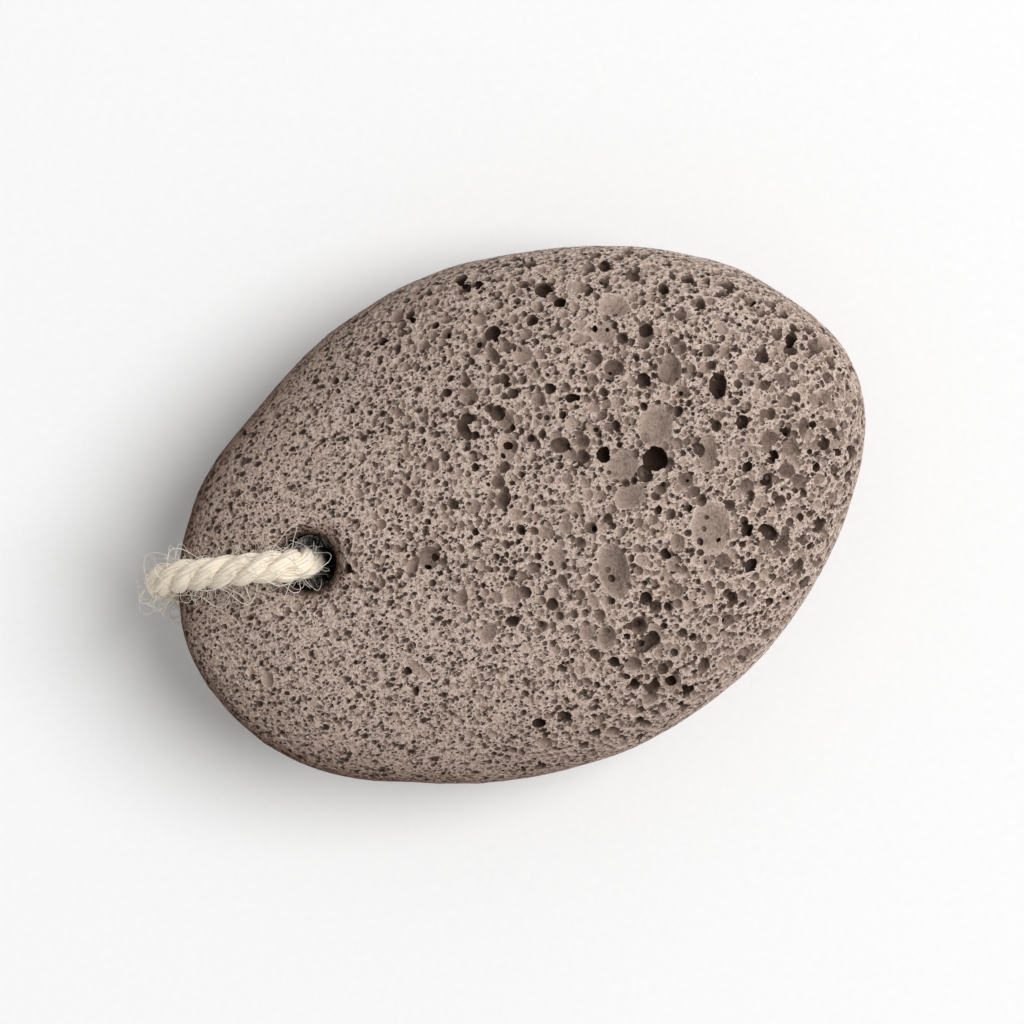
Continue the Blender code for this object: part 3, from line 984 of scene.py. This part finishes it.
def drawn_place(tree, place):
    """Object coordinates bent and drawn out, as the lava's flow did to its smallest bubbles."""
    drawn = add_node(tree, "Mapping", {"Vector": place, "Scale": (FLOW_DRAW, 1.0, 1.0),
                                       "Rotation": (0, 0, math.radians(FLOW_TURN))})
    wobble = add_node(tree, "TexNoise", {"Vector": place, "Scale": 1 / WOBBLE_WIDTH, "Detail": 2.0})
    centred = add_node(tree, "VectorMath", {0: wobble.outputs["Color"], 1: (0.5, 0.5, 0.5)},
                       operation="SUBTRACT")
    nudge = add_node(tree, "VectorMath", {0: centred, "Scale": WOBBLE}, operation="SCALE")
    return add_node(tree, "VectorMath", {0: drawn, 1: nudge}, operation="ADD")


def pin_bubbles(tree, place):
    """The layers of pin-sized bubbles together: how high the surface is, and its painted shade in the
    bowls, 0 to 1.
    """
    height, dark = 0.0, 0.0
    for layer in PIN_BUBBLES:
        cells = add_node(tree, "TexVoronoi", {"Vector": place, "Scale": 1 / (layer["apart"] * MM)})
        number = add_node(tree, "SeparateColor", {"Color": cells.outputs["Color"]})
        radius = add_node(tree, "MapRange", {"Value": number.outputs["Red"],
                                             "To Min": layer["radius"][0],
                                             "To Max": layer["radius"][1]})
        reach = add_node(tree, "Math", {0: cells.outputs["Distance"], 1: radius},
                         operation="DIVIDE")
        square = add_node(tree, "Math", {0: reach, 1: 2.0}, operation="POWER")
        ball = add_node(tree, "Math", {0: 1.0, 1: square}, operation="SUBTRACT", use_clamp=True)
        bowl = add_node(tree, "Math", {0: ball, 1: BOWL_SHAPE}, operation="POWER")
        bottom = add_node(tree, "Math", {0: bowl, 1: -layer["bowl"] * MM}, operation="MULTIPLY")
        height = add_node(tree, "Math", {0: height, 1: bottom}, operation="MINIMUM")
        # Painted shade: a bowl darkens towards its middle, each by its own amount.
        shade = add_node(tree, "Math", {0: bowl, 1: layer["fade"]}, operation="POWER")
        own = add_node(tree, "MapRange", {"Value": number.outputs["Green"], "From Min": 0.30,
                                          "From Max": 0.70, "To Min": layer["palest"]})
        shade = add_node(tree, "Math", {0: shade, 1: own}, operation="MULTIPLY")
        dark = add_node(tree, "Math", {0: dark, 1: shade}, operation="MAXIMUM")
    return height, dark


def dusty_skin(tree, place, dust):
    """The worn skin between the bubbles: it drifts between two tones under its dust."""
    patches = add_node(tree, "TexNoise", {"Vector": place, "Scale": 1 / DRIFT_WIDTH, "Detail": 2.0})
    drift = add_node(tree, "MapRange", {"Value": patches, "From Min": 0.35, "From Max": 0.65})
    skin = add_node(tree, "MixRGB", {"Fac": drift, "Color1": linear("D6BEAF"),
                                     "Color2": linear("CBB5A7")})
    return add_node(tree, "MixRGB", {"Fac": 0.5, "Color1": skin, "Color2": dust})


def bubble_wall(tree, bubble, dust):
    """The glass inside the larger bubbles: painted highlight on the rim, painted shade deeper and
    more closed.
    """
    # Painted shade: the wall's tone is darker the more closed the bubble.
    open_share = add_node(tree, "MapRange", {"Value": bubble, "From Min": 0.1, "From Max": 0.8})
    wall = add_node(tree, "MixRGB", {"Fac": open_share, "Color1": linear("B2998B"),
                                     "Color2": linear("D2BAAB")})
    wall = add_node(tree, "MixRGB", {"Fac": 0.2, "Color1": wall, "Color2": dust})
    depth = add_node(tree, "Attribute", attribute_name="depth").outputs["Fac"]
    # Painted highlight along each bubble's rim.
    rim = add_node(tree, "MapRange", {"Value": depth, "From Min": 0.20 * MM,
                                      "From Max": 0.02 * MM, "To Max": 0.8})
    wall = add_node(tree, "MixRGB", {"Fac": rim, "Color1": wall, "Color2": linear("F0E2D8")})
    # Painted shade: the wall darkens deeper under the skin, the more so in a closed bubble.
    closed = add_node(tree, "MapRange", {"Value": bubble, "From Min": 0.15, "From Max": 0.90,
                                         "To Min": 0.98, "To Max": 0.42})
    low = add_node(tree, "MapRange", {"Value": depth, "From Min": 0.05 * MM, "From Max": 1.0 * MM})
    depth_shade = add_node(tree, "Math", {0: low, 1: closed}, operation="MULTIPLY")
    return add_node(tree, "MixRGB", {"Fac": depth_shade, "Color1": wall, "Color2": linear("34231A")})


def steep_side_shade(tree, place, body):
    """Painted shade browns and darkens the steep sides, the narrow end the most. The flatter faces
    keep their colour.
    """
    slope = add_node(tree, "Attribute", attribute_name="slope").outputs["Fac"]
    steep = add_node(tree, "MapRange", {"Value": slope, "From Min": 1.0, "From Max": 0.33})
    # The steeper the side, the more painted shade it gets.
    worn = add_node(tree, "Math", {0: steep, 1: 0.55}, operation="POWER")
    along = add_node(tree, "SeparateXYZ", {"Vector": place}).outputs["X"]
    narrow = add_node(tree, "MapRange", {"Value": along, "From Min": 25 * MM, "From Max": -40 * MM})
    share = add_node(tree, "Math", {0: worn, 1: narrow}, operation="MULTIPLY")
    return add_node(tree, "MixRGB", {"Fac": share, "Color1": body, "Color2": linear("8A7365")},
                    blend_type="MULTIPLY")


def pumice_finish():
    """Tumbled pumice, a frozen volcanic foam: dusty pale skin full of pin-sized bubbles, and
    smoother, warmer glass inside the larger ones."""
    material, tree, shader = new_material("tumbled_pumice")
    place = add_node(tree, "TexCoord").outputs["Object"]
    bubble = add_node(tree, "Attribute", attribute_name="bubble").outputs["Fac"]
    inside = add_node(tree, "Math", {0: bubble, 1: INSIDE}, operation="GREATER_THAN")
    calm = add_node(tree, "MapRange", {"Value": inside, "To Min": 1.0, "To Max": WALL_SHARE})
    grain = add_node(tree, "TexNoise", {"Vector": place, "Scale": 1 / GRAIN_WIDTH, "Detail": 3.0,
                                        "Roughness": 0.6})
    height, dark = pin_bubbles(tree, drawn_place(tree, place))

    pins = add_node(tree, "Math", {0: height, 1: calm}, operation="MULTIPLY")
    grit = add_node(tree, "Math", {0: grain, 1: GRAIN_HEIGHT}, operation="MULTIPLY")
    relief = add_node(tree, "Math", {0: pins, 1: grit}, operation="ADD")
    bump = add_node(tree, "Bump", {"Height": relief, "Distance": 1.0, "Strength": 1.0})
    tree.links.new(bump.outputs["Normal"], shader.inputs["Normal"])

    thick = add_node(tree, "MapRange", {"Value": grain, "From Min": 0.36, "From Max": 0.66})
    dust = add_node(tree, "MixRGB", {"Fac": thick, "Color1": linear("82685B"),
                                     "Color2": linear("F4E2D6")})
    body = add_node(tree, "MixRGB", {"Fac": inside, "Color1": dusty_skin(tree, place, dust),
                                     "Color2": bubble_wall(tree, bubble, dust)})
    # Painted shade on the steep sides, most at the narrow end.
    body = steep_side_shade(tree, place, body)
    # Painted shade darkens the stone's wall inside the drilled bore.
    body = add_node(tree, "MixRGB", {"Fac": bore_shade(tree, place), "Color1": body,
                                     "Color2": linear(BORE_SHADE_COLOUR)})
    # Painted shade in the pin-sized bowls, weaker inside the carved bubbles.
    pin_shade = add_node(tree, "Math", {0: dark, 1: calm}, operation="MULTIPLY")
    deep = add_node(tree, "MixRGB", {"Fac": pin_shade, "Color1": body, "Color2": linear("2C1A11")})
    tree.links.new(deep.outputs["Color"], shader.inputs["Base Color"])
    shader.inputs["Roughness"].default_value = 0.92
    shader.inputs["Specular IOR Level"].default_value = 0.15
    return material


# ---------------------------------------------------------------- the object

set_camera()
set_studio()

path, along, diameter = cord_path(PATH_STEP)
cord = lay_cord(path, along, diameter)
cord.data.materials.append(natural_fibre("laid_bast_cord", "FFF7E6", "FDEED8", "F4E1C8"))
fibres = loose_fibres(path, diameter)
fibres.data.materials.append(natural_fibre("stray_bast_fibre", "FFF9EE", "FBF0E0", "F0E1CC"))

stone = foam_stone()
stone.data.materials.clear()
stone.data.materials.append(pumice_finish())

for piece in (cord, fibres, stone):
    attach(piece, "root")
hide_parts("rope_loop", "rope_knot")
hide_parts("pumice_stone")
